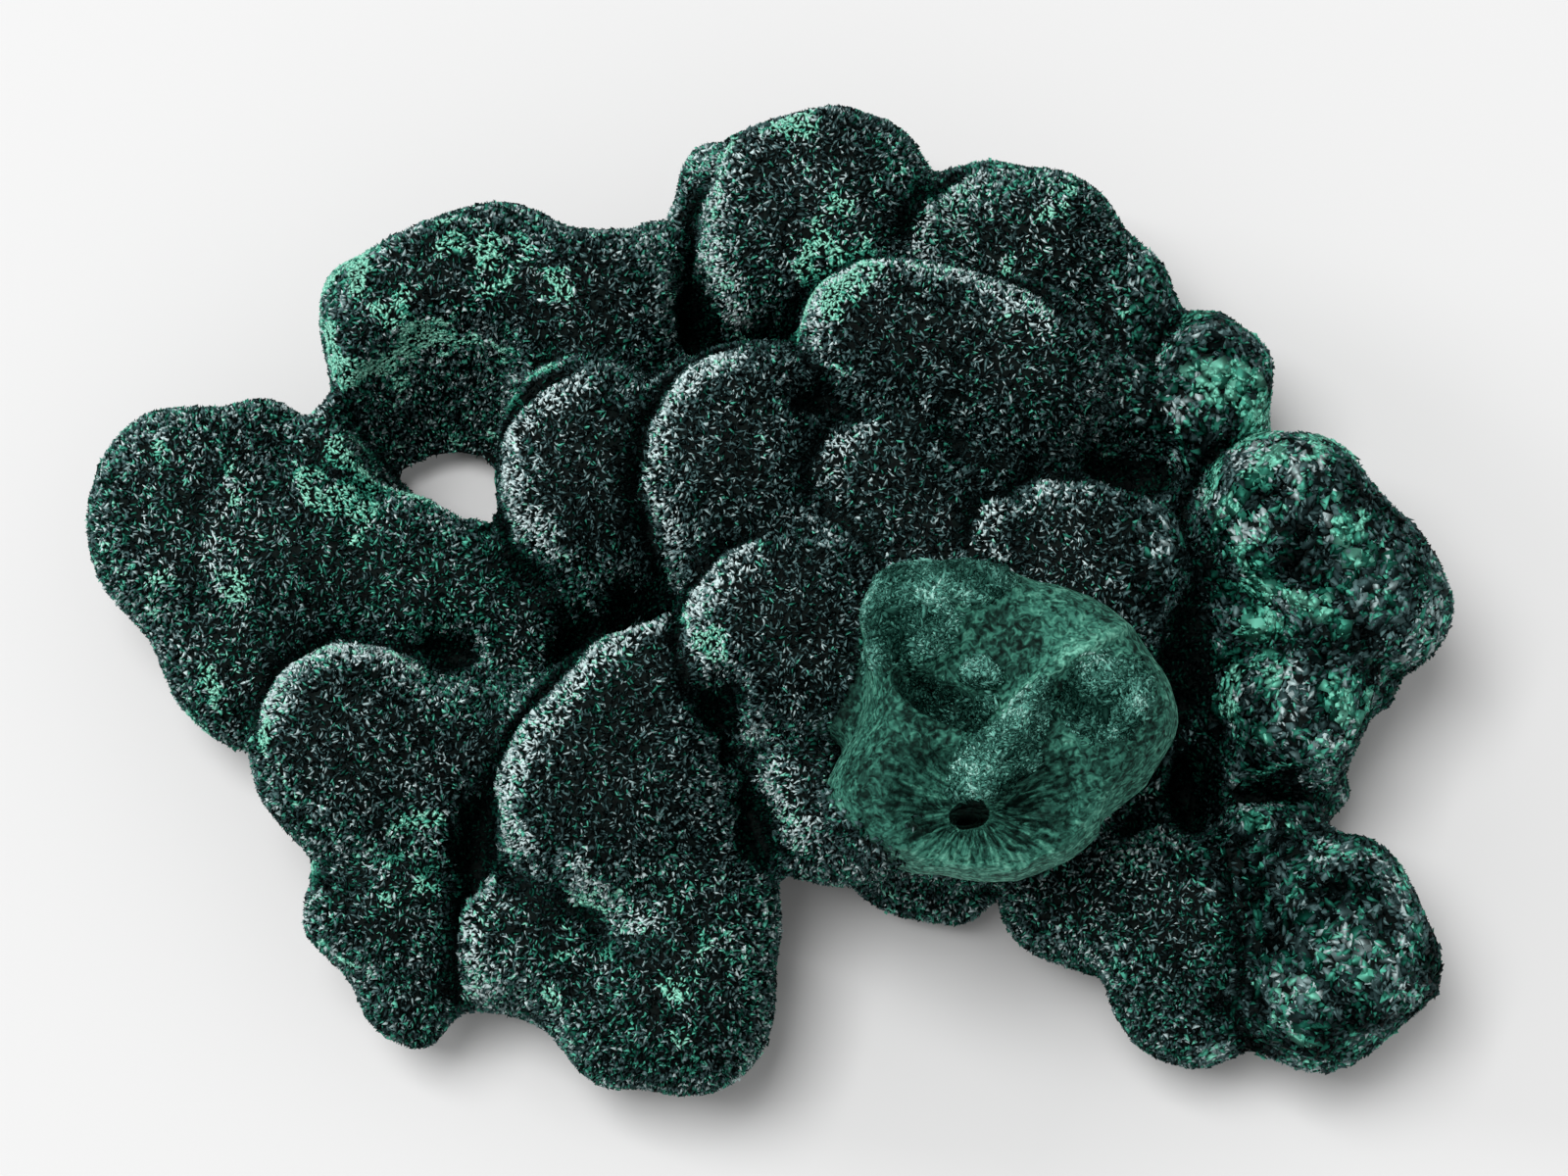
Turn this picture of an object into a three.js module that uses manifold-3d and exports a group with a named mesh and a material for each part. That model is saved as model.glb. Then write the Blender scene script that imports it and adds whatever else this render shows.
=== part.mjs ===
// Velvet malachite hand specimen: a cluster of rounded lobes, grown as one piece, with one pale broken stalk.
// Units are millimetres, +Z is up, and the origin is on the surface under the middle of the specimen's box.
// +X runs along the length of the cluster, and the stalk stands up right of the middle, towards the front.

import * as THREE from 'three';
import { mergeVertices } from 'three/addons/utils/BufferGeometryUtils.js';
import Module from 'manifold-3d';

const wasm = await Module();
wasm.setup();

// ---- Driving dimensions ------------------------------------------------------------------------------------

const LENGTH = 88;                 // overall, along X; the whole cluster below is grown to it evenly
const FACET = 3.55;                // aimed-for facet edge on a lobe
const COARSE_FACET = 6;            // the same on the hidden mass that joins the lobes
const PILLOW = 2.7;                // 2 makes a lobe an ellipsoid, and more gives it a flatter top
const SWELL = 0.045;               // how far a lobe's radius wanders, as a share of it
const PHASE_STEP = 0.9;            // from one lobe's swelling to the next one's
const BREAK_HEIGHT = 0;            // the plane on which the cluster was broken from its rock

// The hollow in the stalk's broken top, and the narrow hole that runs down from it.
const HOLE = { at: [11.1, -16.9], top: 30.5, radius: 1.2, throat: 0.8, depth: 9, lean: 12, sides: 12 };
const HOLLOWS = [
  { at: [12.2, -15, 36.2], radii: [7, 5.4, 6.6] },
  { at: [10, -9.4, 32.4], radii: [2.4, 2, 2.6] },
];

// Each lobe is an ellipsoid: its centre, its three radii and, on a long one, its turn about Z in degrees.
// Every group overlaps its neighbours, so that the union is one body.
const LOBES = {
  westArm: [
    { at: [-37.8, 5.5, 9], radii: [7, 7.2, 7.2] },
    { at: [-34.8, 8.4, 8.5], radii: [4.1, 4.3, 5.4] },
    { at: [-30.2, 8.3, 9.5], radii: [2.5, 2.6, 4.5] },
    { at: [-34, -2.2, 7], radii: [6.6, 6.6, 6.2] },
    { at: [-30, 3, 9.5], radii: [6, 6, 6.5] },
    { at: [-33.5, 2.5, 9.5], radii: [5.5, 5, 6.5] },
    { at: [-22.5, 0.5, 9.5], radii: [7.5, 5.2, 6.5] },
    { at: [-24, 3.2, 9.3], radii: [4, 3.6, 6] },
    { at: [-17, -1.5, 9], radii: [4.4, 4, 5.5] },
  ],
  northWestShoulder: [
    { at: [-21.5, 17, 12], radii: [8, 8, 8] },
    { at: [-18.3, 20, 12], radii: [5.8, 5.2, 7] },
    { at: [-26, 18, 11], radii: [4, 5.6, 6] },
    { at: [-26.8, 10.5, 10], radii: [2.9, 4.2, 5] },
    { at: [-13, 18, 12.2], radii: [7.2, 5.6, 7.2] },
    { at: [-8, 20.2, 8.5], radii: [4.4, 4, 5.5] },
    { at: [-15.5, 14, 11], radii: [5, 4.8, 6.5] },
  ],
  middle: [
    { at: [-12.5, 7, 14.5], radii: [6.2, 7, 9] },
    { at: [-2.6, 7.5, 17], radii: [6.9, 7.3, 9] },
    { at: [0.5, -3.5, 16.5], radii: [7.2, 7.2, 9] },
    { at: [3, -12.5, 12], radii: [5.6, 5.8, 8] },
    { at: [6.4, 5.4, 17.4], radii: [5, 4.9, 7] },
    { at: [9.8, 1.5, 16.8], radii: [5.8, 5.4, 7.6] },
    { at: [18, 0.3, 15], radii: [7.6, 6.6, 8.6] },
    { at: [25, -0.5, 11], radii: [3.8, 5.8, 7] },
  ],
  northCrest: [
    { at: [-3.9, 26.6, 9], radii: [3.2, 4.3, 5.2] },
    { at: [2, 24.6, 12.5], radii: [7.5, 7.4, 8.8] },
    { at: [8.6, 25, 10], radii: [3.4, 3, 4.6] },
    { at: [-2, 20.5, 11], radii: [4, 3.8, 8] },
    { at: [12.8, 24.2, 11], radii: [4.6, 4.2, 6] },
    { at: [15.6, 22, 11.5], radii: [6.2, 5.5, 8] },
    { at: [20.7, 19.2, 10], radii: [4.1, 4.2, 6] },
    { at: [26.8, 13.8, 10], radii: [4.4, 5, 6.5] },
    { at: [6, 14.5, 19], radii: [5.2, 5.4, 7.6] },
    { at: [10, 13.6, 19], radii: [6, 5.6, 7.9] },
    { at: [14, 12.5, 18.5], radii: [6, 6, 8] },
  ],
  eastArm: [
    { at: [31, 4.2, 15.5], radii: [5.7, 5.3, 6.5] },
    { at: [34.8, -0.2, 14.5], radii: [5.7, 5.6, 6.2] },
    { at: [37.4, -1.2, 13], radii: [4, 4.1, 4.6] },
    { at: [32.5, -7.5, 12], radii: [5.3, 5.6, 6.5] },
    { at: [37.5, -6, 9.5], radii: [1.8, 1.7, 2.2] },
    { at: [35, -11.5, 7], radii: [2, 1.8, 2.4] },
  ],
  southEastLobes: [
    { at: [34, -22, 9], radii: [7.2, 7.6, 7.8] },
    { at: [24.5, -20.5, 9.5], radii: [6.3, 5.8, 7] },
    { at: [18, -19, 8.5], radii: [4.3, 5, 6] },
    { at: [25, -25.5, 7], radii: [4.4, 4, 4.8] },
    { at: [29, -16, 10.5], radii: [3.4, 3.4, 6] },
  ],
  southWestLobes: [
    { at: [-26.8, -10, 12], radii: [6.7, 7, 8] },
    { at: [-24.7, -20, 9.5], radii: [5.7, 5, 6] },
    { at: [-24.2, -24.2, 7], radii: [4, 3.8, 4.6] },
    { at: [-21.4, -11.5, 11], radii: [4.6, 6.2, 7.4] },
  ],
  southLobes: [
    { at: [-8.5, -7, 13], radii: [5.8, 5.8, 8.8] },
    { at: [-10.8, -12, 13], radii: [7.6, 7.8, 9.2] },
    { at: [-6.5, -16.5, 11.5], radii: [5.9, 5.4, 7.2] },
    { at: [-16, -21.5, 9], radii: [5.2, 4.9, 6] },
    { at: [-6.5, -24.5, 9.5], radii: [5.9, 6.6, 7] },
    { at: [-11.5, -25.5, 8], radii: [4.8, 5, 5.6] },
    { at: [-6, -20.5, 10.5], radii: [5.6, 5.2, 7] },
  ],
  stalk: [
    { at: [12.4, -10.2, 18], radii: [8, 7.2, 12.6] },
    { at: [7.1, -13.6, 25], radii: [5.5, 6.1, 7] },
    { at: [8.2, -9.6, 25.4], radii: [4.5, 4.6, 6.8] },
    { at: [12.4, -14.6, 25], radii: [6.8, 5.4, 7] },
    { at: [17, -12.2, 25.6], radii: [5, 5, 6.8] },
    { at: [19.4, -10.2, 27], radii: [3.9, 4, 5.6] },
    { at: [7.4, -5.2, 28.8], radii: [3.5, 3.9, 4.6] },
    { at: [11.2, -4.2, 29], radii: [3.3, 2.8, 4] },
    { at: [16, -7, 27], radii: [6, 4.3, 6], turn: -25 },
  ],
  core: [
    { at: [-30, 1.5, 6], radii: [8, 7, 8.4] },
    { at: [-22, -1.5, 6], radii: [14, 6.5, 8.2] },
    { at: [-17.5, 16.6, 7], radii: [10.5, 6, 10.6] },
    { at: [-2.5, 4.5, 8], radii: [12.5, 12, 13.2] },
    { at: [8, 19.5, 6.5], radii: [12, 7.5, 10.6] },
    { at: [11, 10, 9], radii: [9, 8, 13] },
    { at: [20.5, 7.5, 7], radii: [11.5, 10.5, 9.6] },
    { at: [12, -4.5, 8], radii: [13, 7.5, 12] },
    { at: [31, 0, 8], radii: [7.5, 6, 9.6] },
    { at: [-16.5, -12, 7.5], radii: [12.5, 7.5, 10] },
    { at: [-13.5, -21, 6], radii: [9.5, 6.5, 8] },
    { at: [9, -9.5, 7], radii: [14, 8.5, 9] },
    { at: [28, -11, 6], radii: [7, 12, 8] },
    { at: [29.5, -21.5, 6], radii: [9, 5.5, 8.6] },
    { at: [9, -17, 4.4], radii: [4.2, 3.2, 3.6] },
  ],
};

// Deep gaps that stay open between neighbouring lobes.
const GAPS = [
  { at: [-9.6, -2.4, 22], radii: [3.4, 1, 9], turn: 20 },
  { at: [-6.6, 17.6, 20], radii: [0.8, 2.9, 10] },
  { at: [21, 5.6, 20], radii: [2.9, 1.1, 8], turn: -8 },
  { at: [-3.9, -10.6, 20], radii: [0.8, 1.5, 9] },
  { at: [-21.4, -5.1, 18], radii: [1.8, 0.7, 7], turn: -25 },
  { at: [25.6, -12.4, 17], radii: [1.9, 3.4, 9], turn: 20 },
];

// The tongue of stone that hangs over the hole, and the fold that runs back from it to the stalk's rim.
const TONGUE = [
  { at: [12.6, -13.6, 30.2], radii: [2.9, 2.3, 2.6] },
  { at: [15.6, -9.8, 31], radii: [4.8, 1.7, 2.5], turn: 42 },
  { at: [10.9, -8.6, 31], radii: [0.9, 0.9, 1.4] },
];

// ---- Solids ------------------------------------------------------------------------------------------------

function toSolid(geometry) {
  geometry.deleteAttribute('normal');
  geometry.deleteAttribute('uv');
  const merged = mergeVertices(geometry, 1e-4);
  return new wasm.Manifold(new wasm.Mesh({
    numProp: 3,
    vertProperties: new Float32Array(merged.attributes.position.array),
    triVerts: new Uint32Array(merged.index.array),
  }));
}

function toGeometry(solid) {
  const mesh = solid.getMesh();
  const geometry = new THREE.BufferGeometry();
  geometry.setAttribute('position', new THREE.BufferAttribute(new Float32Array(mesh.vertProperties), 3));
  geometry.setIndex(new THREE.BufferAttribute(new Uint32Array(mesh.triVerts), 1));
  geometry.computeVertexNormals();
  return geometry;
}

// How far a lobe swells in one direction: a slow wave over it, different for each lobe's phase.
function swelling(direction, phase) {
  const across = Math.sin(2.3 * direction.x + phase) * Math.cos(2.9 * direction.y - 2 * phase);
  const along = Math.sin(3.1 * direction.z + 1.7 * direction.x + 3 * phase);
  return 1 + SWELL * (across + 0.6 * along);
}

// An icosphere has 20 (detail + 1)^2 faces, and a face with edges of length e has an area of sqrt(3) / 4 e^2.
function detailFor(radii, facet) {
  const meanRadius = (radii[0] + radii[1] + radii[2]) / 3;
  const faces = 4 * Math.PI * meanRadius ** 2 / (Math.sqrt(3) / 4 * facet ** 2);
  return Math.max(1, Math.round(Math.sqrt(faces / 20)) - 1);
}

// How far a pillow reaches in one direction, next to a ball of radius 1.
function reach(direction) {
  const level = Math.hypot(direction.x, direction.y);
  return (level ** PILLOW + Math.abs(direction.z) ** PILLOW) ** (-1 / PILLOW);
}

function lobe({ at, radii, turn = 0 }, phase, facet) {
  const geometry = new THREE.IcosahedronGeometry(1, detailFor(radii, facet));
  const position = geometry.attributes.position;
  const direction = new THREE.Vector3();
  for (let i = 0; i < position.count; i++) {
    direction.fromBufferAttribute(position, i).normalize();
    direction.multiplyScalar(reach(direction) * swelling(direction, phase));
    position.setXYZ(i, direction.x * radii[0], direction.y * radii[1], direction.z * radii[2]);
  }
  geometry.rotateZ(THREE.MathUtils.degToRad(turn));
  geometry.translate(...at);
  return toSolid(geometry);
}

function cluster() {
  const { core, ...showing } = LOBES;
  const lobes = [
    ...Object.values(showing).flat().map((shape, i) => lobe(shape, PHASE_STEP * i, FACET)),
    ...core.map((shape, i) => lobe(shape, PHASE_STEP * i, COARSE_FACET)),
  ];
  return lobes.reduce((joined, next) => joined.add(next));
}

// The hole narrows downwards and leans back as it goes.
function stalkHole() {
  const { at, top, radius, throat, depth, lean, sides } = HOLE;
  const profile = [
    new THREE.Vector2(0, -depth),
    new THREE.Vector2(throat, -0.95 * depth),
    new THREE.Vector2(1.2 * throat, -0.5 * depth),
    new THREE.Vector2(radius, 0),
    new THREE.Vector2(1.2 * radius, radius),
    new THREE.Vector2(0, radius),
  ];
  const geometry = new THREE.LatheGeometry(profile, sides);
  geometry.rotateX(Math.PI / 2 + THREE.MathUtils.degToRad(lean));
  geometry.translate(at[0], at[1], top);
  return toSolid(geometry);
}

// Everything under the break is cut away, which leaves the flat patches that the specimen rests on.
function belowTheBreak() {
  const thickness = LENGTH;
  const geometry = new THREE.BoxGeometry(2 * LENGTH, 2 * LENGTH, thickness);
  geometry.translate(0, 0, BREAK_HEIGHT - thickness / 2);
  return toSolid(geometry);
}

function specimen() {
  let body = cluster();
  for (const hollow of [...HOLLOWS, ...GAPS]) {
    body = body.subtract(lobe(hollow, PHASE_STEP, FACET));
  }
  TONGUE.forEach((shape, i) => {
    body = body.add(lobe(shape, PHASE_STEP * i, FACET));
  });
  const geometry = toGeometry(body.subtract(stalkHole()).subtract(belowTheBreak()));
  geometry.computeBoundingBox();
  const { min, max } = geometry.boundingBox;
  const growth = LENGTH / (max.x - min.x);
  geometry.translate(-(min.x + max.x) / 2, -(min.y + max.y) / 2, -min.z);
  geometry.scale(growth, growth, growth);
  return geometry;
}

const malachite = new THREE.MeshStandardMaterial({ color: 0x24443a, roughness: 0.6, metalness: 0 });

const model = new THREE.Group();
const body = new THREE.Mesh(specimen(), malachite);
body.name = 'malachite_specimen';
model.add(body);

export default model;
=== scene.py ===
"""Looks of the velvet malachite specimen: its grown skin, its velvet of needles and its pale broken stalk."""

import math

import bpy
import numpy as np
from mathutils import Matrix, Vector


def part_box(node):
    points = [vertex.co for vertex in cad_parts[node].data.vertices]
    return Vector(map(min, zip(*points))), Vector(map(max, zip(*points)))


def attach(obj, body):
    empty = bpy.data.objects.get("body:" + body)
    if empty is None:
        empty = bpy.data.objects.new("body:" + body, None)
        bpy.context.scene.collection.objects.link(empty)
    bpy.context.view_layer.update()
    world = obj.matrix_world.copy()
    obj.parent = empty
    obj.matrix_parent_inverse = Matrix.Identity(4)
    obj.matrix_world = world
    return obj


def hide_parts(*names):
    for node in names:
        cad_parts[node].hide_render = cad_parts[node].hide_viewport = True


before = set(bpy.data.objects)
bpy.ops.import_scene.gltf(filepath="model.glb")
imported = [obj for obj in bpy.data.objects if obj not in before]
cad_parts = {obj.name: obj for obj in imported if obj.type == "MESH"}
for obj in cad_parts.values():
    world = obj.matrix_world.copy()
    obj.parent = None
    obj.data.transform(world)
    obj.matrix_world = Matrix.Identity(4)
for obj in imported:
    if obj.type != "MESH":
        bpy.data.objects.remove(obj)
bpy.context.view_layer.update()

NODE = "malachite_specimen"
MM = 0.001
LOW, HIGH = (np.array(corner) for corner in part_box(NODE))
SIZE = HIGH - LOW
MIDDLE = (LOW + HIGH) / 2

# ---- Driving sizes -----------------------------------------------------------------------------------------

VOXEL = 0.66 * MM               # the skin's own resolution
FILLING = 3                     # rounds of filling that let neighbouring lobes run together
CREASE_DEPTH = 0.8 * MM         # how deep the creases between them are pressed in
ROUNDING = 25                   # rounds of turning facets into round lobes
KEPT_ANGLE = 38                 # in degrees: a crease between facets that is sharper than this stays
LUMPS = [(0.28, 5, 11), (0.12, 1.8, 21)]    # on every lobe: height, size (both in millimetres) and seed
FLAKY_LUMPS = 0.45              # how high the lumps under the flakes are, in millimetres
FLAKY_FROM, FLAKY_TO = 0.74, 0.84           # where needles give way to flakes, in shares of the length
LOW_LYING = (0.42 * SIZE[2], 0.64 * SIZE[2])    # the velvet is greener below the first than above the second

VELVET_PIECES = 4
VELVET_SEED = 100               # of the first piece, and each later one has the next number
STALK_SEED = 200
BLADES = 43_000                 # needles in each piece of velvet, four triangles each
NEEDLE_LENGTH = 0.35 * MM
NEEDLE_HEIGHT = 0.40 * MM
PAINTED_SHEEN_SIDE = np.array([-0.62, 0.58, 0.53])  # faces towards the lamps; velvet facing it gets a painted sheen
STALK_CRYSTALS = 14_000         # crystals on the stalk's nodules, four triangles each too
CRYSTAL_LENGTH = 0.32 * MM
CRYSTAL_HALF_WIDTH = 0.11 * MM
CRYSTAL_HEIGHT = 0.13 * MM

STALK_REACH = 12.2 * MM         # from the stalk's middle to its outside
STALK_BASE = 0.60 * SIZE[2]     # where its pale skin begins to give way to velvet
STALK_CROWN = 0.76 * SIZE[2]    # above this its level places count as stalk too
STALK_TOP = 0.14 * SIZE[2]      # how much of its top is measured to find its middle
HOLE_FROM_STALK = np.array([-1.6, -5.9]) * MM
FINE_FROM = 0.74 * SIZE[2]      # higher than this, the mesh of the stalk's face is made finer
FINE_MIDDLE = (0, 2 * MM)       # around a place this far behind its hole
FINE_REACHES = (9.5 * MM, 5.2 * MM)         # once within the first of these and again within the second

# The stalk's broken face, in millimetres from the middle of its hole. Each thing on it is an oval: its
# middle, its radii, its turn in degrees, how high it stands and how lumpy and crystalline it is.
FACE = {
    "bowl": ((0.4, -0.2), (5.8, 4.0), 0, -1.8, 0),
    "tongue": ((1.3, 2.7), (3.0, 2.0), 8, 1.2, 0.55),
    "tongue_root": ((2.9, 4.8), (2.6, 1.5), 55, 0.7, 0.45),
    "pocket": ((-2.0, 6.1), (3.7, 1.3), -26, -2.0, 0.25),
    "pocket_nodule": ((0.2, 7.7), (1.5, 0.9), -10, 1.1, 0.7),
    "lower_nodule": ((0.5, 5.9), (1.1, 0.8), 20, 0.8, 0.5),
    "left_nodule": ((-4.4, 11.4), (3.9, 3.8), 0, 0.3, 0.8),
    "top_nodule": ((-0.7, 13.6), (3.3, 2.0), -12, 0.5, 1.0),
    "right_nodule": ((7.7, 6.0), (3.4, 2.9), 25, 0.5, 0.85),
    "second_pit": ((2.7, 0.2), (0.7, 0.5), 0, -0.9, 0),
    "lip": ((0.6, 1.5), (2.3, 0.7), 0, 0.5, 0.3),
}
# Notches in its outline: middle, radii and depth.
DENTS = [((-8.6, 6.4), (3.6, 5.6), 1.5), ((10.0, -0.6), (2.6, 2.6), 1.1), ((5.5, -4.4), (3.0, 1.8), 0.6)]
# Where its face is paler (+) or darker (-): middle, radii, turn and how much.
FACE_TONES = [
    ((-6.5, 2.5), (4.5, 8.0), 0, -0.15),
    ((-0.5, -3.4), (8.0, 2.2), 0, 0.30),
    ((6.0, 10.0), (4.0, 2.6), -35, 0.32),
    ((2.2, 9.5), (2.0, 3.0), 0, -0.35),
    ((8.5, 3.0), (3.0, 2.6), 0, -0.20),
    ((-2.8, 4.2), (2.6, 2.4), 0, -0.35),
    ((3.5, 0.2), (2.6, 2.2), 0, -0.25),
    ((-5.0, 11.4), (2.2, 2.0), 0, -0.25),
    ((-1.6, 12.6), (3.0, 1.3), -15, 0.5),
    ((0.2, 7.8), (1.2, 0.8), 0, 0.5),
    ((7.6, 6.6), (2.6, 1.6), -25, 0.5),
    ((1.6, 4.4), (3.6, 1.3), 57, 0.6),
]
RIDGE = [(2.2, 3.6), (4.0, 7.0), (9.2, 10.6)]   # from the tongue up to the rim
RIDGE_HEIGHT = 0.8
RIDGE_VALLEY = 0.6              # how deep the valley along its right side is

# The next four lists are in millimetres from the box's low corner. Many of their places were chosen by eye on
# the reference photo and turned into millimetres by another script; report.md says which.
# Where one lobe lies over the next: how deep the crease is, which also sets its painted shade, how strong the
# painted sheen (a painted highlight) on the edge of the lobe on the line's left is, and the line itself.
FOLDS = [
    (2.0, 0.85, [(33, 45), (29.5, 43), (27.5, 40.5), (27, 37), (28.5, 34), (31.5, 31.5)]),
    (2.0, 0.85, [(43.5, 46), (39, 44.5), (36.5, 40.5), (36, 36.5), (37, 33.5), (38.5, 31)]),
    (1.8, 0.6, [(45, 33.5), (41.5, 32.5), (39.5, 30.5), (38.5, 27), (39.5, 24.5), (42, 22.5)]),
    (2.2, 1.0, [(38.5, 30), (35, 29.5), (32, 26), (28.5, 22), (26.5, 18.5), (27, 15), (29.5, 12.5)]),
    (2.2, 0.9, [(27, 14.5), (24.5, 12), (24.5, 9), (25, 5.5)]),
    (1.5, 0.7, [(42, 22), (43.5, 19), (44.5, 16.5), (46.5, 14)]),
    (1.6, 0.8, [(23, 27), (20, 28), (16.5, 29), (13, 27), (12, 24), (12, 21.5)]),
    (0.7, 0.2, [(13.5, 14), (16.5, 14), (20, 12.5)]),
    (1.5, 0.75, [
        (64, 45.5), (61, 48.5), (58, 50.5), (54, 51.5), (49.5, 51), (46.5, 50), (46, 46.5), (48, 43),
    ]),
    (1.4, 1.0, [(58, 59.5), (54, 57), (52.5, 53)]),
    (1.6, 0.7, [(41, 59.5), (39.5, 57), (39.5, 54), (41, 50), (43, 47)]),
    (1.4, 0.6, [(65, 37), (61, 38), (57.5, 35.5), (56.5, 32)]),
    (1.3, 0.9, [(49, 41.5), (47, 38), (47, 35.5)]),
    (2.0, 0.5, [(76.5, 43), (72.5, 40), (70.5, 36.5), (71, 32.5), (73, 29), (73, 24.5), (74, 20)]),
    (1.4, 0.2, [(75.5, 17), (73.5, 14), (74, 9), (76, 3.5)]),
    (0.4, 0.5, [(10, 40.5), (8, 37), (8, 33), (10.5, 29.5)]),
    (1.5, 0.3, [(71.5, 50.5), (69.5, 48), (69, 44.5), (70.5, 41)]),
    (1.0, 0.6, [(30.5, 13.5), (32, 11.5), (35.5, 9), (39, 9.5)]),
]
# Dark gaps between lobes, pressed in and darkened with painted shade: middle, radii, turn and depth.
VOIDS = [
    ((35.5, 30.2), (3.4, 1.5), 18, 7),
    ((32.0, 29.2), (2.2, 1.3), 35, 6),
    ((41.3, 23.5), (1.4, 1.4), 0, 5),
    ((39.2, 51.0), (1.0, 3.2), 0, 7),
    ((44.3, 48.6), (1.8, 1.1), 0, 5),
    ((47.0, 42.2), (1.7, 0.9), 0, 4),
    ((67.5, 39.8), (3.6, 1.8), 0, 6),
    ((71.0, 27.0), (1.8, 4.0), -8, 5),
    ((71.5, 19.5), (1.8, 3.5), 0, 4),
    ((26.0, 15.8), (1.4, 3.2), -5, 6),
    ((24.0, 28.3), (1.8, 1.0), -10, 4),
    ((43.3, 16.5), (1.3, 2.8), 10, 4),
    ((76.5, 19.0), (3.0, 0.7), 5, 4),
]
# Where the outline is drawn in (+) or out (-): middle, radius and depth.
TRIMS = [
    ((19.5, 58.5), 4.5, 1.4), ((16.5, 5.5), 3.5, 1.2), ((28.5, 3.5), 4, 1.5), ((62, 7.5), 3, 1.2),
    ((69, 1.5), 3, 0.9), ((85, 3.5), 4, 1.1), ((83.5, 21.5), 4, 1.4), ((44, 65.5), 3.5, 1.5),
    ((50, 66.5), 3.5, 1.0), ((4.5, 25.5), 3.5, 0.8), ((77.5, 51), 2.5, 0.9), ((53.5, 11), 2.5, 0.8),
    ((79.5, 46.5), 2, 0.5), ((12.5, 43.5), 2.5, -1.2), ((37, 56), 2.2, -1.0), ((87, 12), 4, 0.9),
    ((15, 51), 3.5, 0.3),
]
TRIM_SPREAD = 1.5               # how much further than its radius a trim reaches
# The opening right through: its middle and its outline near the floor.
GAP = (24.2, 39.6)
GAP_OUTLINE = [
    (18.8, 42), (21, 43.4), (23, 43.9), (26, 43.6), (26.6, 39.5), (25, 38.4), (21.7, 39.4), (18.8, 42),
]
GAP_REACH = 8                   # the gap's walls are looked for this near to its middle
GAP_FLOOR = 3                   # the most that a lobe may stand at the outline's very edge
SECTORS = 36                    # steps around the gap in which its walls are measured

# The parts of the cluster where mint green patches grow, as ovals in shares of the box's length and width:
# the middle, the radii and how thickly they grow.
GREEN_ZONES = {
    "tip_of_west_arm": ((0.08, 0.50), (0.08, 0.18), 0.65),
    "inner_west_arm": ((0.18, 0.58), (0.06, 0.10), 0.80),
    "north_west_shoulder": ((0.25, 0.76), (0.13, 0.20), 0.95),
    "north_crest": ((0.53, 0.92), (0.09, 0.10), 0.60),
    "west_end_of_upper_lobe": ((0.55, 0.76), (0.05, 0.09), 1.20),
    "north_east_crest": ((0.74, 0.85), (0.10, 0.10), 0.60),
    "end_of_north_east_crest": ((0.83, 0.73), (0.05, 0.07), 0.90),
    "top_of_east_arm": ((0.88, 0.60), (0.10, 0.12), 1.15),
    "lower_east_arm": ((0.87, 0.40), (0.07, 0.12), 1.10),
    "south_east_lobe": ((0.89, 0.18), (0.10, 0.16), 0.65),
    "west_edge_of_middle_lobe": ((0.46, 0.42), (0.03, 0.06), 0.80),
    "end_of_south_lobe": ((0.42, 0.12), (0.10, 0.10), 0.55),
    "south_west_lobes": ((0.20, 0.28), (0.08, 0.18), 0.42),
}
PATCH_SIZE = 2.6 * MM           # from one mint patch to the next, roughly


# ---- Repeatable noise --------------------------------------------------------------------------------------

def cell_values(cells, seed):
    """A number from 0 to 1 for each whole-number cell, the same on every run."""
    x, y, z = (cells[:, k].astype(np.uint32) for k in range(3))
    mixed = x * np.uint32(374761393) ^ y * np.uint32(668265263) ^ z * np.uint32(2246822519)
    mixed ^= np.uint32(seed * 3266489917 % 2**32)
    mixed = (mixed ^ (mixed >> np.uint32(13))) * np.uint32(1274126177)
    mixed = (mixed ^ (mixed >> np.uint32(16))) * np.uint32(2654435761)
    return (mixed ^ (mixed >> np.uint32(15))).astype(np.float64) / 2**32


def noise(points, scale, seed):
    """Smooth noise from -1 to 1, whose lumps are about scale across."""
    place = points / scale
    cell = np.floor(place).astype(np.int64)
    part = place - cell
    part = part * part * (3 - 2 * part)
    total = np.zeros(len(points))
    for corner in np.ndindex(2, 2, 2):
        offset = np.array(corner)
        weight = np.prod(np.where(offset, part, 1 - part), axis=1)
        total += weight * cell_values(cell + offset, seed)
    return 2 * total - 1


def rough(points, scale, seed, octaves=3):
    """Several sizes of noise added up, each half as large as the one before."""
    total = np.zeros(len(points))
    for octave in range(octaves):
        total += noise(points, scale / 2**octave, seed + octave) / 2**octave
    return total / (2 - 2 ** (1 - octaves))


def step(value, start, end):
    """0 below start, 1 above end and smooth between them."""
    t = np.clip((value - start) / (end - start), 0, 1)
    return t * t * (3 - 2 * t)


# ---- Places on the specimen --------------------------------------------------------------------------------

def from_corner(points):
    """Millimetres from the box's low corner, seen from above."""
    return (points[:, :2] - LOW[:2]) / MM


def low_lying(points):
    """1 low down between the lobes, 0 on the tops of the high ones."""
    return 1 - step(points[:, 2] - LOW[2], *LOW_LYING)


def coarseness(points):
    """0 where the crystals are needles, 1 on the right-hand lobes, where they are flakes."""
    along = (points[:, 0] - LOW[0]) / SIZE[0]
    return step(along + 0.06 * noise(points, 12 * MM, 81), FLAKY_FROM, FLAKY_TO)


def oval(at, centre, radii, turn):
    """1 in the middle of an oval and 0 at its edge; at, centre and radii are in the same unit."""
    angle = math.radians(turn)
    along = np.array([math.cos(angle), math.sin(angle)])
    offset = at - np.array(centre)
    u = offset @ along / radii[0]
    v = (offset[:, 1] * along[0] - offset[:, 0] * along[1]) / radii[1]
    return np.clip(1 - u * u - v * v, 0, 1)


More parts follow.
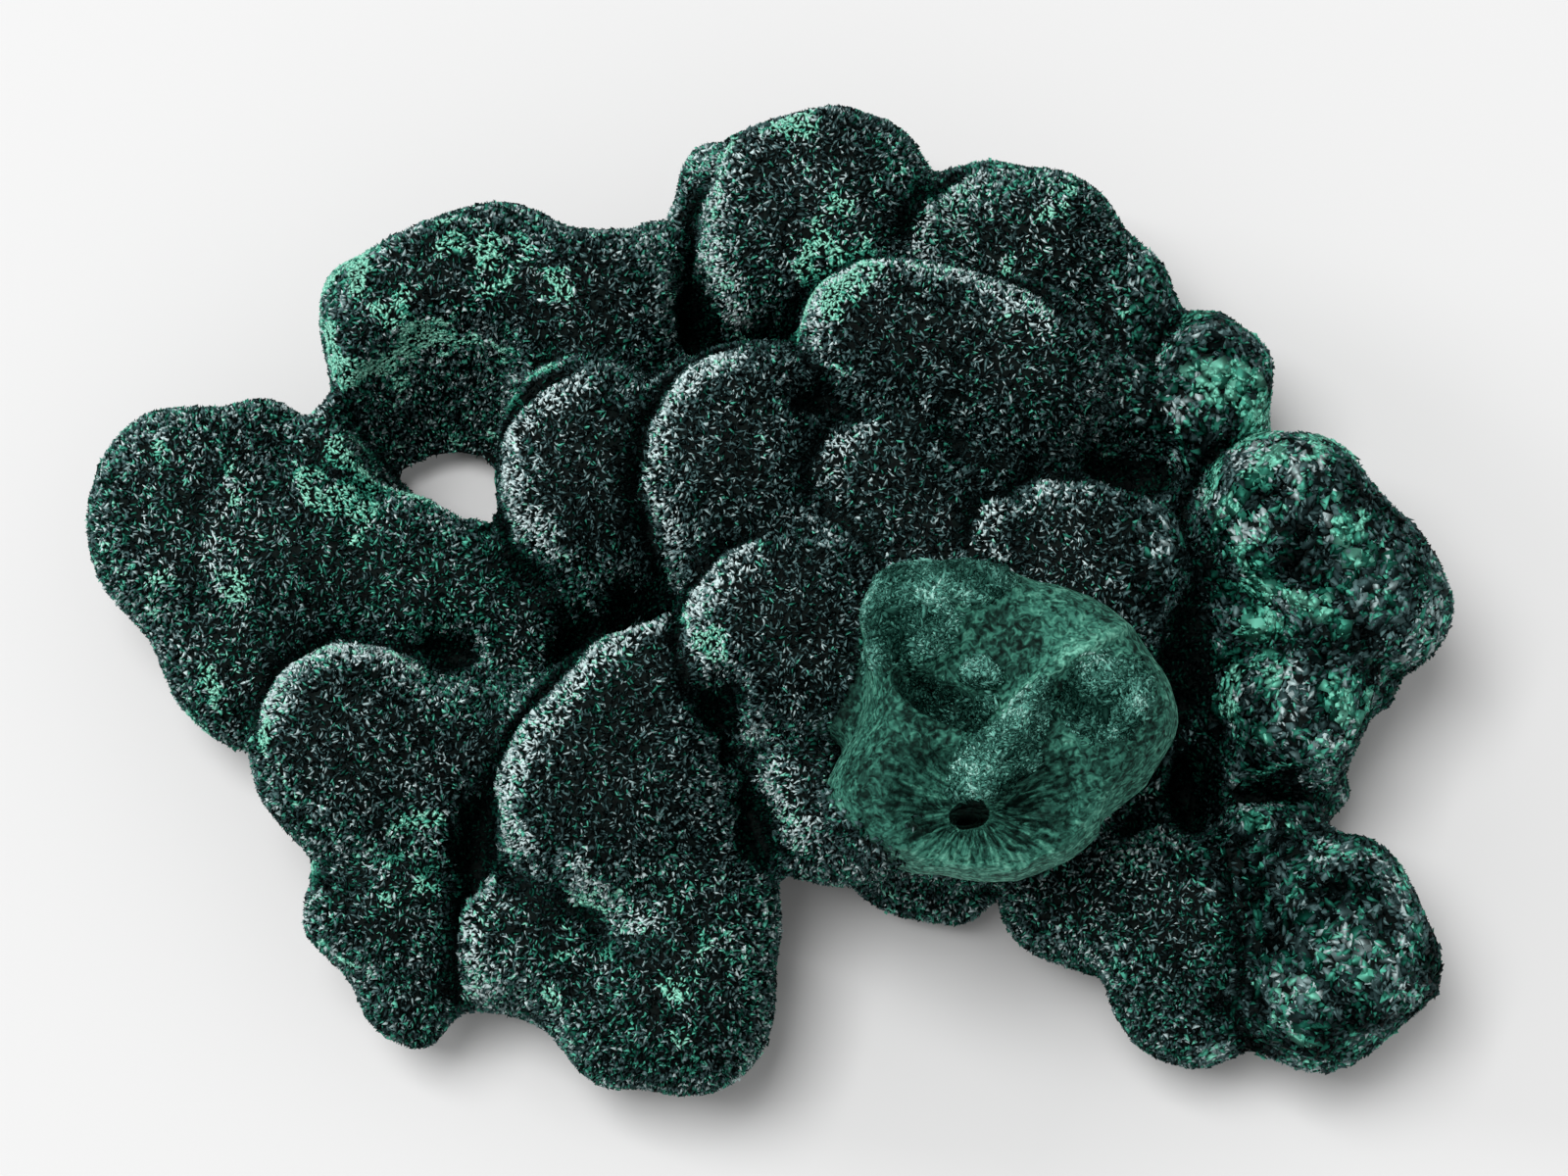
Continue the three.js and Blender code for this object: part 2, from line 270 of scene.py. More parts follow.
def from_line(at, corners):
    """How far each place is from a line through corners, positive on its left, and how far along it."""
    nearest = np.full(len(at), np.inf)
    side = np.zeros(len(at))
    along = np.zeros(len(at))
    for number, (start, end) in enumerate(zip(np.array(corners[:-1]), np.array(corners[1:]))):
        way = end - start
        share = np.clip((at - start) @ way / (way @ way), 0, 1)
        offset = at - start - share[:, None] * way
        distance = np.linalg.norm(offset, axis=1)
        closer = distance < nearest
        left = way[0] * offset[:, 1] - way[1] * offset[:, 0]
        nearest = np.where(closer, distance, nearest)
        side = np.where(closer, np.sign(left), side)
        along = np.where(closer, (number + share) / (len(corners) - 1), along)
    return nearest * side, along


# ---- Mesh tools --------------------------------------------------------------------------------------------

def unit(vectors):
    return vectors / np.maximum(np.linalg.norm(vectors, axis=1, keepdims=True), 1e-12)


def add_up(index, values, count):
    """The sum of values (rows of three) at each index."""
    return np.stack([np.bincount(index, values[:, k], count) for k in range(3)], axis=1)


def between(points, faces, normals, count, weight, chance):
    """count places spread over the faces by weight, with each place's normal."""
    a, b, c = (points[faces[:, k]] for k in range(3))
    area = np.linalg.norm(np.cross(b - a, c - a), axis=1) / 2
    reach = np.cumsum(area * weight[faces].mean(1))
    face = np.searchsorted(reach, (np.arange(count) + chance.random(count)) / count * reach[-1])
    face = np.minimum(face, len(faces) - 1)
    share = chance.random((count, 2))
    share = np.where(share.sum(1, keepdims=True) > 1, 1 - share, share)
    share = np.column_stack([1 - share.sum(1), share])[:, :, None]
    corners = faces[face]
    return (points[corners] * share).sum(1), unit((normals[corners] * share).sum(1)), corners[:, 0]


class Skin:
    """A closed triangle mesh in arrays: points, triangles, and who is next to whom."""

    def __init__(self, points, faces):
        self.points = points
        self.faces = faces
        sides = np.concatenate([faces[:, [0, 1]], faces[:, [1, 2]], faces[:, [2, 0]]])
        owner = np.tile(np.arange(len(faces)), 3)
        low, high = sides.min(1), sides.max(1)
        order = np.lexsort((high, low))
        low, high, owner = low[order], high[order], owner[order]
        same = np.flatnonzero((low[1:] == low[:-1]) & (high[1:] == high[:-1]))
        self.face_pairs = np.stack([owner[same], owner[same + 1]], axis=1)
        edges = np.unique(np.sort(sides, axis=1), axis=0)
        self.near = np.concatenate([edges, edges[:, ::-1]])
        self.degree = np.bincount(self.near[:, 0], minlength=len(points))[:, None]

    def face_vectors(self):
        """Each face's unit normal and its area."""
        a, b, c = (self.points[self.faces[:, k]] for k in range(3))
        cross = np.cross(b - a, c - a)
        length = np.linalg.norm(cross, axis=1)
        return cross / np.maximum(length, 1e-20)[:, None], length / 2

    def normals(self):
        normal, area = self.face_vectors()
        weighted = normal * area[:, None]
        return unit(sum(add_up(self.faces[:, k], weighted, len(self.points)) for k in range(3)))

    def mean_of_near(self, values):
        flat = values.ndim == 1
        rows = np.repeat(values[:, None], 3, 1) if flat else values
        mean = add_up(self.near[:, 0], rows[self.near[:, 1]], len(self.points)) / self.degree
        return mean[:, 0] if flat else mean

    def blur(self, values, rounds):
        for _ in range(rounds):
            values = (values + self.mean_of_near(values)) / 2
        return values

    def relax(self, rounds, pull=0.5):
        """Evens the mesh out."""
        for _ in range(rounds):
            self.points = self.points + pull * (self.mean_of_near(self.points) - self.points)

    def round_off_facets(self, rounds, kept_angle):
        """Turns flat facets into round lobes, and leaves a crease sharper than kept_angle as it is."""
        normal, _ = self.face_vectors()
        limit = math.cos(math.radians(kept_angle))
        one, other = self.face_pairs.T
        for _ in range(rounds):
            agree = np.einsum("ij,ij->i", normal[one], normal[other])
            weight = np.clip((agree - limit) / (1 - limit), 0, 1)[:, None]
            total = normal * 0.5
            total = total + add_up(one, weight * normal[other], len(normal))
            total = total + add_up(other, weight * normal[one], len(normal))
            normal = unit(total)
        for _ in range(rounds):
            middle = self.points[self.faces].mean(1)
            shift = np.zeros_like(self.points)
            for k in range(3):
                corner = self.faces[:, k]
                gap = np.einsum("ij,ij->i", normal, middle - self.points[corner])
                shift += add_up(corner, normal * gap[:, None], len(self.points))
            self.points = self.points + shift / self.degree


def skin_of(node, voxel):
    """The CAD node's outside as an even mesh of its own."""
    copy = bpy.data.objects.new("remesh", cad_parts[node].data.copy())
    bpy.context.scene.collection.objects.link(copy)
    even = copy.modifiers.new("even", "REMESH")
    even.mode = "VOXEL"
    even.voxel_size = voxel
    mesh = copy.evaluated_get(bpy.context.evaluated_depsgraph_get()).to_mesh()
    mesh.calc_loop_triangles()
    points = np.empty(len(mesh.vertices) * 3)
    mesh.vertices.foreach_get("co", points)
    faces = np.empty(len(mesh.loop_triangles) * 3, np.int32)
    mesh.loop_triangles.foreach_get("vertices", faces)
    copied = copy.data
    bpy.data.objects.remove(copy)
    bpy.data.meshes.remove(copied)
    return Skin(points.reshape(-1, 3), faces.reshape(-1, 3).astype(np.int64))


def mesh_from(name, points, faces, material):
    mesh = bpy.data.meshes.new(name)
    mesh.vertices.add(len(points))
    mesh.vertices.foreach_set("co", points.astype(np.float32).ravel())
    mesh.loops.add(faces.size)
    mesh.loops.foreach_set("vertex_index", faces.astype(np.int32).ravel())
    mesh.polygons.add(len(faces))
    mesh.polygons.foreach_set("loop_start", np.arange(0, faces.size, 3, dtype=np.int32))
    mesh.update(calc_edges=True)
    mesh.materials.append(material)
    piece = bpy.data.objects.new(name, mesh)
    bpy.context.scene.collection.objects.link(piece)
    return piece


def keep_attribute(piece, name, values):
    attribute = piece.data.attributes.new(name, "FLOAT", "POINT")
    attribute.data.foreach_set("value", values.astype(np.float32))


# ---- The grown skin ----------------------------------------------------------------------------------------

def find_stalk(points):
    """The middle of the stalk, from the highest part of the specimen."""
    top = points[points[:, 2] > HIGH[2] - STALK_TOP]
    return np.array([*(top[:, :2].min(0) + top[:, :2].max(0)) / 2, HIGH[2]])


def stalk_share(points, normals, stalk):
    """1 on the pale stalk, 0 on the velvet."""
    away = points[:, :2] - stalk[:2]
    distance = np.linalg.norm(away * (1, 1.15), axis=1)
    outward = np.einsum("ij,ij->i", normals[:, :2], away) / np.maximum(distance, 1e-9)
    height = points[:, 2] - LOW[2]
    steep = (normals[:, 2] < 0.45) | (height > STALK_CROWN)
    flank = (distance < STALK_REACH) & (outward > 0.2) & (height > STALK_BASE) & steep
    crown = (distance < 0.8 * STALK_REACH) & (height > STALK_CROWN)
    return np.where(flank | crown, step(height, STALK_BASE, STALK_BASE + 3 * MM), 0)


def run_together(skin, rounds):
    """Fills the valleys between lobes, and leaves what stands proud as it is."""
    for _ in range(rounds):
        inward = skin.mean_of_near(skin.points) - skin.points
        normals = skin.normals()
        skin.points = skin.points + normals * np.maximum(np.einsum("ij,ij->i", inward, normals), 0)[:, None]


def creases_of(skin):
    """1 where two lobes meet and 0 elsewhere: the lobes are convex, so only their meetings are hollow."""
    hollow = np.einsum("ij,ij->i", skin.mean_of_near(skin.points) - skin.points, skin.normals())
    return skin.blur(step(hollow, 0.03 * MM, 0.10 * MM), 1)


def fold_marks(points, normals):
    """How far folds and voids press each place in, in mm, and how much painted sheen and painted shade it
    gets.
    """
    at = from_corner(points)
    at = at + 0.35 * np.column_stack([noise(points, 2.2 * MM, 35), noise(points, 2.2 * MM, 37)])
    pressed, painted_sheen, painted_shade = np.zeros((3, len(points)))
    for depth, painted_sheen_strength, line in FOLDS:
        aside, along = from_line(at, line)
        ends = step(along, 0.0, 0.12) * (1 - step(along, 0.88, 1.0))
        pressed = np.maximum(pressed, 0.8 * depth * ends * (1 - step(np.abs(aside), 0.0, 0.9)))
        # painted sheen: needles along the edge of the lobe on the line's left are made paler
        painted_sheen = np.maximum(painted_sheen, painted_sheen_strength * ends * step(aside, 0.35, 0.9) * (1 - step(aside, 1.3, 3.0)))
        # painted shade in the crease and on the lower lobe beside it
        painted_darkness = np.where(aside > 0, 1 - step(aside, 0.0, 0.4), 1 - step(-aside, 0.2, 1.4))
        painted_shade = np.maximum(painted_shade, min(1, depth / 1.6) * ends * painted_darkness)
    for centre, radii, turn, depth in VOIDS:
        share = oval(at, centre, np.array(radii) + 0.5, turn)
        pressed = np.maximum(pressed, depth * share ** 0.5)
        # painted shade fills each void, and it gets no painted sheen
        painted_shade = np.maximum(painted_shade, step(share, 0.0, 0.5))
        painted_sheen = painted_sheen * (1 - step(share, 0.0, 0.4))
    facing = step(normals[:, 2], -0.3, 0.1)
    return pressed * facing, painted_sheen * facing, painted_shade * facing


def shape_lobes(skin, crease, on_stalk):
    """Lobes that run together, with creases and dark gaps between them and lumps on them.

    Gives how much painted sheen and painted shade each point's velvet gets.
    """
    run_together(skin, FILLING)
    lumps = sum(height * rough(skin.points, size * MM, seed) for height, size, seed in LUMPS)
    lumps += FLAKY_LUMPS * coarseness(skin.points) * rough(skin.points, 3.2 * MM, 23)
    shift = (1 - 0.6 * on_stalk) * lumps * MM - (1 - on_stalk) * crease * CREASE_DEPTH
    skin.points = skin.points + skin.normals() * shift[:, None]
    at = from_corner(skin.points)
    trim = sum(depth * oval(at, centre, [TRIM_SPREAD * radius] * 2, 0) for centre, radius, depth in TRIMS)
    skin.points[:, :2] -= skin.normals()[:, :2] * (trim * (1 - on_stalk) * MM)[:, None]
    pressed, painted_sheen, painted_shade = fold_marks(skin.points, skin.normals())
    skin.points[:, 2] -= np.minimum(pressed * MM, 0.8 * (skin.points[:, 2] - LOW[2])) * (1 - on_stalk)
    # painted shade in the creases between lobes as well
    painted_shade = np.maximum(painted_shade, 0.8 * crease) * (1 - on_stalk)
    open_gap(skin)
    skin.relax(1, 0.3)
    skin.points[:, 2] = np.maximum(skin.points[:, 2], LOW[2])
    return painted_sheen * (1 - on_stalk), painted_shade


def open_gap(skin):
    """Opens the gap out to its outline low down, and slopes the lobe behind it down towards the floor."""
    away = from_corner(skin.points) - GAP
    height = (skin.points[:, 2] - LOW[2]) / MM
    distance = np.maximum(np.linalg.norm(away, axis=1), 0.1)
    angle = np.arctan2(away[:, 1], away[:, 0])
    sector = ((angle / (2 * math.pi) + 0.5) * SECTORS).astype(int) % SECTORS
    behind = step(away @ np.array([-0.4, 0.92]) / distance, -0.2, 0.5)
    low = (height > 0.8) & (distance < GAP_REACH) & ((height < 13) | (behind > 0.5))
    wall = np.full(SECTORS, float(GAP_REACH))
    np.minimum.at(wall, sector[low], distance[low])
    middles = ((np.arange(SECTORS) + 0.5) / SECTORS - 0.5) * 2 * math.pi
    now = np.interp(angle, middles, wall, period=2 * math.pi)
    share = np.linspace(0, len(GAP_OUTLINE) - 1, 200)
    corners = np.array(GAP_OUTLINE) - GAP
    x, y = (np.interp(share, np.arange(len(corners)), corners[:, k]) for k in range(2))
    wanted = np.maximum(np.interp(angle, np.arctan2(y, x), np.hypot(x, y), period=2 * math.pi), now)
    push = (wanted - now) * (1 - step(distance - now, 0, 6)) * (1 - step(height, 9, 14) * (1 - behind))
    slope = 3.2 + 17 * (1 - behind)
    roof = GAP_FLOOR + slope * np.maximum(distance + push - wanted, 0)
    skin.points[:, :2] += (away / distance[:, None]) * (push * MM)[:, None]
    skin.points[:, 2] = LOW[2] + np.where(distance < 9, np.minimum(height, roof), height) * MM


def split_faces(skin, chosen):
    """A finer skin: each chosen face becomes four, and their neighbours are split to match."""
    sides = np.sort(np.stack([skin.faces, np.roll(skin.faces, -1, 1)], axis=2), axis=2)
    edges, index = np.unique(sides.reshape(-1, 2), axis=0, return_inverse=True)
    index = index.reshape(-1, 3)
    cut = np.zeros(len(edges), bool)
    while True:
        cut[index[chosen]] = True
        more = (cut[index].sum(1) >= 2) & ~chosen
        if not more.any():
            break
        chosen = chosen | more
    middle = np.full(len(edges), -1)
    middle[cut] = len(skin.points) + np.arange(cut.sum())
    points = np.concatenate([skin.points, skin.points[edges[cut]].mean(1)])
    a, b, c = skin.faces[chosen].T
    ab, bc, ca = middle[index[chosen]].T
    made = [np.stack(t, 1) for t in ((a, ab, ca), (ab, b, bc), (ca, bc, c), (ab, bc, ca))]
    halved = ~chosen & cut[index].any(1)
    made.append(skin.faces[~chosen & ~halved])
    first = np.argmax(cut[index[halved]], axis=1)
    row = np.arange(halved.sum())
    a, b, c = (skin.faces[halved][row, (first + k) % 3] for k in range(3))
    ab = middle[index[halved][row, first]]
    made += [np.stack((a, ab, c), 1), np.stack((ab, b, c), 1)]
    return Skin(points, np.concatenate(made))


def shape_hole_and_outline(skin, at, distance, on_stalk):
    """Squeezes the stalk's hole to an oval, moves it a little and notches the stalk's outline."""
    skin.points[:, 1] -= 0.45 * on_stalk * at[:, 1] * MM * (1 - step(distance, 1.1, 3.2))
    skin.points[:, :2] -= 0.5 * MM * (on_stalk * (1 - step(distance, 1.2, 4.5)))[:, None]
    dent = sum(depth * oval(at, centre, radii, 0) for centre, radii, depth in DENTS)
    skin.points[:, :2] -= at / np.maximum(distance, 0.1)[:, None] * (dent * on_stalk * MM)[:, None]


def spokes(at, distance):
    """Noise drawn out into narrow spokes around the stalk's hole, 0 along the middle of each groove."""
    around = np.column_stack([at / np.maximum(distance, 0.01)[:, None], 0.1 * distance])
    return np.abs(noise(around, 0.085, 41)) * 0.7 + np.abs(noise(around, 0.04, 43)) * 0.3


def dress_stalk(skin, stalk):
    """The stalk's broken face: its bowl, tongue, ridge and nodules, and fibres that fan out from its hole.

    Gives each point's share of the stalk, its fan of fibres and its crystals, and its tone, painted light
    included.
    """
    on_stalk = skin.blur(stalk_share(skin.points, skin.normals(), stalk), 10)
    at = (skin.points[:, :2] - stalk[:2] - HOLE_FROM_STALK) / MM
    distance = np.linalg.norm(at, axis=1)
    shape_hole_and_outline(skin, at, distance, on_stalk)
    normals = skin.normals()
    on_top = on_stalk * step(normals[:, 2], 0.0, 0.45)
    sideways = [noise(skin.points, 1.4 * MM, seed) for seed in (31, 33)]
    wobble = at + 0.25 * np.column_stack(sideways)
    shares = {name: oval(wobble, *place) for name, (*place, _, _) in FACE.items()}
    height = sum(FACE[name][3] * share ** 0.7 for name, share in shares.items())
    crystals = np.max([FACE[name][4] * step(share, 0.05, 0.7) for name, share in shares.items()], axis=0)
    aside, along = from_line(wobble, RIDGE)
    crest = np.where(aside > 0, 1 - step(aside, 0, 1.8), 1 - step(-aside, 0, 0.5)) * step(along, 0, 0.2)
    valley = np.where(aside < 0, 1 - step(np.abs(aside + 1.1), 0, 1.0), 0) * (1 - step(along, 0.55, 0.9))
    height = height + RIDGE_HEIGHT * crest - RIDGE_VALLEY * valley
    fan = step(distance, 1.0, 1.8) * (1 - step(distance, 4.2, 7.5)) * (1 - crystals)
    fan = fan * (1 - step(at[:, 1], 2.0, 4.0))
    grooves = spokes(at, distance)
    depth = 0.34 * (1 + 0.6 * step(at[:, 0], 0.5, 3.0))
    height = height - fan * depth * step(0.45 - grooves, 0.0, 0.45)
    nodular = 0.45 * crystals * rough(skin.points, 1.3 * MM, 51) + 0.07 * rough(skin.points, 0.7 * MM, 53)
    skin.points[:, 2] += on_top * height * MM
    skin.points = skin.points + normals * (on_stalk * nodular * MM)[:, None]
    # painted shade: the pocket, the valley beside the ridge, the hole and the fan's grooves are darkened
    painted_darkness = 0.7 * shares["pocket"] ** 0.5 * (1 - step(shares["pocket_nodule"], 0, 0.3))
    painted_darkness = painted_darkness + 0.35 * valley + 1.6 * (distance < 1.2)
    painted_darkness = painted_darkness + fan * step(0.3 - grooves, 0, 0.3) * (0.5 + 0.4 * step(at[:, 0], 0.5, 3.0))
    # painted highlight: the stalk's steep flanks are made paler, a painted rim of light
    painted_rim_light = on_stalk * (1 - step(normals[:, 2], 0.25, 0.7))
    # the ridge's crest gets a painted highlight too
    tone = 0.6 * crest + 0.35 * painted_rim_light + 0.15 * shares["tongue"] - painted_darkness
    tone = tone + sum(much * oval(at, *place) for *place, much in FACE_TONES)
    return on_stalk, fan * on_top, crystals * on_top, tone


def build_skin():
    """The skin that carries the velvet, its painted sheen and painted shade, the finer skin that shows, and
    its stalk.
    """
    skin = skin_of(NODE, VOXEL)
    skin.relax(1)
    crease = creases_of(skin)
    skin.relax(1)
    skin.round_off_facets(ROUNDING, KEPT_ANGLE)
    skin.relax(1)
    stalk = find_stalk(skin.points)
    on_stalk = skin.blur(stalk_share(skin.points, skin.normals(), stalk), 4)
    painted_sheen_and_shade = shape_lobes(skin, crease, on_stalk)
    coarse = Skin(skin.points.copy(), skin.faces)
    skin = split_faces(skin, (on_stalk[skin.faces] > 0.02).any(1))
    for reach in FINE_REACHES:
        from_hole = np.linalg.norm(skin.points[:, :2] - stalk[:2] - FINE_MIDDLE - HOLE_FROM_STALK, axis=1)
        chosen = (from_hole < reach) & (skin.points[:, 2] > LOW[2] + FINE_FROM)
        skin = split_faces(skin, chosen[skin.faces].all(1))
    skin.relax(2, 0.3)
    return coarse, painted_sheen_and_shade, skin, stalk, dress_stalk(skin, stalk)


# ---- The velvet --------------------------------------------------------------------------------------------

def green_share(points):
    """How much of the velvet is green rather than black at each point, and how much of that is mint."""
    at = (points[:, :2] - LOW[:2]) / SIZE[:2]
    zones = [much * oval(at, centre, radii, 0) ** 0.5 for centre, radii, much in GREEN_ZONES.values()]
    zone = np.max(zones, axis=0)
    clusters = noise(points, PATCH_SIZE, 65) + 0.5 * noise(points, 0.4 * PATCH_SIZE, 67)
    patch = step(clusters, 0.95 - 1.1 * zone, 1.35 - 1.1 * zone) * step(zone, 0.0, 0.1)
    patch = patch * step(noise(points, 0.9 * MM, 63), -0.7, 0.1)
    drift = step(rough(points, 9 * MM, 71), 0.0, 0.6)
    return np.clip(0.08 + 0.18 * drift + 0.20 * low_lying(points) + 0.9 * patch, 0, 1), patch


def crystals(name, place, normal, along, sizes, lift, lean, key, chance):
    """Little crystals joined in one piece, each a tetrahedron with its sharp ridge on top.

    along is the way the ridges run, sizes holds each one's length, half width and height, lift is how far it
    stands off the skin and key is its tone.
    """
    count = len(place)
    length, half_width, height = (size[:, None] for size in sizes)
    lower_end = height * chance.uniform(0.2, 0.95, (count, 1))
    up = unit(normal + lean * chance.normal(0, 1, (count, 3)))
    across = unit(np.cross(up, along))
    side = np.cross(across, up)
    root = place + (lift[:, None] - 0.25 * height) * normal
    corners = np.stack([
        root + side * length / 2 + up * height,
        root - side * length / 2 + up * lower_end,
        root + across * half_width,
        root - across * half_width,
    ], axis=1)
    first = 4 * np.arange(count)[:, None, None]
    faces = (first + np.array([(0, 2, 1), (1, 3, 0), (0, 3, 2), (1, 2, 3)])).reshape(-1, 3)
    piece = mesh_from(name, corners.reshape(-1, 3), faces, velvet_material())
    tip = np.full((count, 4), 0.03)
    tip[:, 0] = 0.97
    tip[:, 1] = 0.97 * (lower_end / height)[:, 0]
    layer = piece.data.uv_layers.new(name="OFBake")
    uv = np.stack([np.repeat(key, 4)[faces.ravel()], tip.ravel()[faces.ravel()]], axis=1)
    layer.data.foreach_set("uv", uv.astype(np.float32).ravel())
    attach(piece, "root")
    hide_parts(NODE)
    return piece


def needle_tones(place, normal, painted_sheen, painted_shade, mint, chance):
    """How pale each needle is: random, clustered, mint in patches, with painted sheen and painted shade."""
    flaky = coarseness(place)
    tone = (0.90 - 0.30 * flaky) * chance.random(BLADES) + 0.14 * flaky
    tone += 0.18 * noise(place, 1.0 * MM, 91) + 0.12 * rough(place, 7 * MM, 95)
    # painted sheen: needles on faces turned towards the lamps are made paler
    tone += 0.10 * step(normal @ PAINTED_SHEEN_SIDE, 0.70, 1.0) + 0.08 * low_lying(place) - 0.04
    # painted sheen: on the lobes' edges many needles are made near white
    tone += painted_sheen * (1 - 0.6 * flaky) * np.where(chance.random(BLADES) < 0.55, 0.95, 0.15)
    tone += 0.5 * flaky * noise(place, 2.2 * MM, 93)
    tone += (0.75 - 0.25 * flaky) * mint
    # painted shade: needles in creases and voids are darkened
    return np.clip(tone, 0, 1 - 0.08 * flaky) * (1 - 0.85 * painted_shade)


def needle_sizes(flaky, flat, chance):
    """Each needle's length, half width and height: flakes are longer, wider and lower, flat ones wider."""
    size = np.exp(chance.normal(0, 0.25, BLADES)) * (1 + 2.0 * flaky ** 1.5)
    height = NEEDLE_HEIGHT * np.exp(chance.normal(0, 0.15, BLADES)) * (1 - 0.45 * flaky) * (1 - flat)
    half_width = (0.10 + 0.08 * flaky) * (1 + 0.6 * flat) * MM * size
    return NEEDLE_LENGTH * size, half_width, height


def velvet(name, coarse, on_stalk, painted_sheen, painted_shade, seed):
    """One piece of velvet, spread over all the lobes."""
    chance = np.random.default_rng(seed)
    normals = coarse.normals()
    showing = 0.25 + 0.75 * step(normals[:, 2], -0.5, 0.2)
    above = step(coarse.points[:, 2] - LOW[2], 0.2 * MM, 0.8 * MM)
    weight = showing * above * (1 - on_stalk) / (1 + 0.8 * coarseness(coarse.points))
    place, normal, nearest = between(coarse.points, coarse.faces, normals, BLADES, weight, chance)
    green, mint = green_share(place)
    tone = needle_tones(place, normal, painted_sheen[nearest], painted_shade[nearest], mint, chance)
    flat = 0.5 * mint
    flaky = coarseness(place) * chance.random(BLADES)
    sizes = needle_sizes(flaky, flat, chance)
    key = np.where(chance.random(BLADES) < green, in_family(GREENS, tone), in_family(BLACKS, tone))
    along = chance.normal(0, 1, (BLADES, 3))
    return crystals(name, place, normal, along, sizes, 0.36 * MM * flat, 0.14, key, chance)


def stalk_crystals(name, skin, share, tone, seed):
    """The crystals on the stalk's nodules."""
    chance = np.random.default_rng(seed)
    count = STALK_CRYSTALS
    place, normal, nearest = between(skin.points, skin.faces, skin.normals(), count, share, chance)
    size = np.exp(chance.normal(0, 0.35, count))
    sizes = (CRYSTAL_LENGTH * size, CRYSTAL_HALF_WIDTH * size, CRYSTAL_HEIGHT * size)
    tone = 0.07 + 0.62 * chance.random(count) + 0.65 * rough(place, 1.6 * MM, 97) + 0.45 * tone[nearest]
    tone = np.clip(tone, 0, 1)
    along = chance.normal(0, 1, (count, 3))
    return crystals(name, place, normal, along, sizes, np.zeros(count), 0.35, in_family(PALE, tone), chance)


# ---- Materials ---------------------------------------------------------------------------------------------

def new_material(name, roughness):
    material = bpy.data.materials.new(name)
    material.use_nodes = True
    tree = material.node_tree
    shader = tree.nodes["Principled BSDF"]
    shader.inputs["Roughness"].default_value = roughness
    return material, tree, shader


def ramp(tree, factor, stops):
    """A colour ramp of (place, colour) stops, driven by factor."""
    node = tree.nodes.new("ShaderNodeValToRGB")
    node.color_ramp.elements.remove(node.color_ramp.elements[1])
    node.color_ramp.elements[0].position = stops[0][0]
    node.color_ramp.elements[0].color = (*stops[0][1], 1)
    for place, colour in stops[1:]:
        element = node.color_ramp.elements.new(place)
        element.color = (*colour, 1)
    tree.links.new(factor, node.inputs["Fac"])
    return node.outputs["Color"]


def noise_texture(tree, scale, detail=3, distortion=0.0):
    place = tree.nodes.new("ShaderNodeTexCoord")
    node = tree.nodes.new("ShaderNodeTexNoise")
    node.inputs["Scale"].default_value = scale
    node.inputs["Detail"].default_value = detail
    node.inputs["Distortion"].default_value = distortion
    tree.links.new(place.outputs["Object"], node.inputs["Vector"])
    return node.outputs["Fac"]


def mixed(tree, kind, factor, one, other):
    node = tree.nodes.new("ShaderNodeMix")
    node.data_type = "RGBA"
    node.blend_type = kind
    for value, socket in ((factor, 0), (one, 6), (other, 7)):
        if isinstance(value, bpy.types.NodeSocket):
            tree.links.new(value, node.inputs[socket])
        else:
            node.inputs[socket].default_value = value
    return node.outputs[2]


def attribute(tree, name):
    node = tree.nodes.new("ShaderNodeAttribute")
    node.attribute_name = name
    return node.outputs["Fac"]


# Each family of tones fills a third of the range: the velvet's blacks, its greens and the stalk's crystals.
VELVET_TONES = [
    (0.00, (0.0004, 0.0010, 0.0010)),
    (0.07, (0.003, 0.007, 0.007)),
    (0.15, (0.024, 0.052, 0.053)),
    (0.24, (0.100, 0.185, 0.186)),
    (0.33, (0.690, 0.850, 0.850)),
    (0.34, (0.001, 0.010, 0.007)),
    (0.44, (0.005, 0.060, 0.041)),
    (0.53, (0.030, 0.200, 0.140)),
    (0.60, (0.105, 0.500, 0.360)),
    (0.66, (0.410, 0.860, 0.680)),
    (0.67, (0.002, 0.014, 0.010)),
    (0.76, (0.015, 0.066, 0.050)),
    (0.86, (0.065, 0.220, 0.175)),
    (0.94, (0.170, 0.450, 0.370)),
    (1.00, (0.380, 0.680, 0.600)),
]
# Where each family starts and how much of the range its tones take up.
BLACKS = (0.01, 0.31)
GREENS = (0.35, 0.29)
PALE = (0.68, 0.31)
# painted shade deep in the pile: each needle and crystal darkens from its tip down to its root
PAINTED_ROOT_SHADE = [(0.0, (0.06, 0.08, 0.08)), (0.35, (0.4, 0.4, 0.4)), (0.8, (1, 1, 1))]

STALK_TONES = [
    (0.10, (0.0008, 0.003, 0.002)),
    (0.36, (0.003, 0.015, 0.011)),
    (0.46, (0.012, 0.056, 0.041)),
    (0.53, (0.025, 0.112, 0.082)),
    (0.62, (0.046, 0.182, 0.132)),
    (0.78, (0.150, 0.410, 0.310)),
]
DARK_SPECKS = [(0.38, (0.22, 0.26, 0.26)), (0.47, (1, 1, 1))]
# the skin between and under the needles: the stone's dark colour deepened into near black, a painted shade of
# the pile
GROUND_TONES = [(0.35, (0.0008, 0.0016, 0.0016)), (0.7, (0.003, 0.007, 0.006))]
BROKEN_TONES = [
    (0.30, (0.004, 0.016, 0.011)),
    (0.45, (0.016, 0.070, 0.048)),
    (0.55, (0.010, 0.044, 0.032)),
    (0.66, (0.050, 0.170, 0.120)),
]


# How many lumps each noise has to a metre.
FLECKS = 1900
CLOUDS = 420
SPECKS = 2500
BROKEN_STONE = 190

FIBRES_AROUND = 13              # how finely the fan of fibres is divided
FIBRES_ALONG = 0.035 / MM       # how fast a fibre changes on its way out


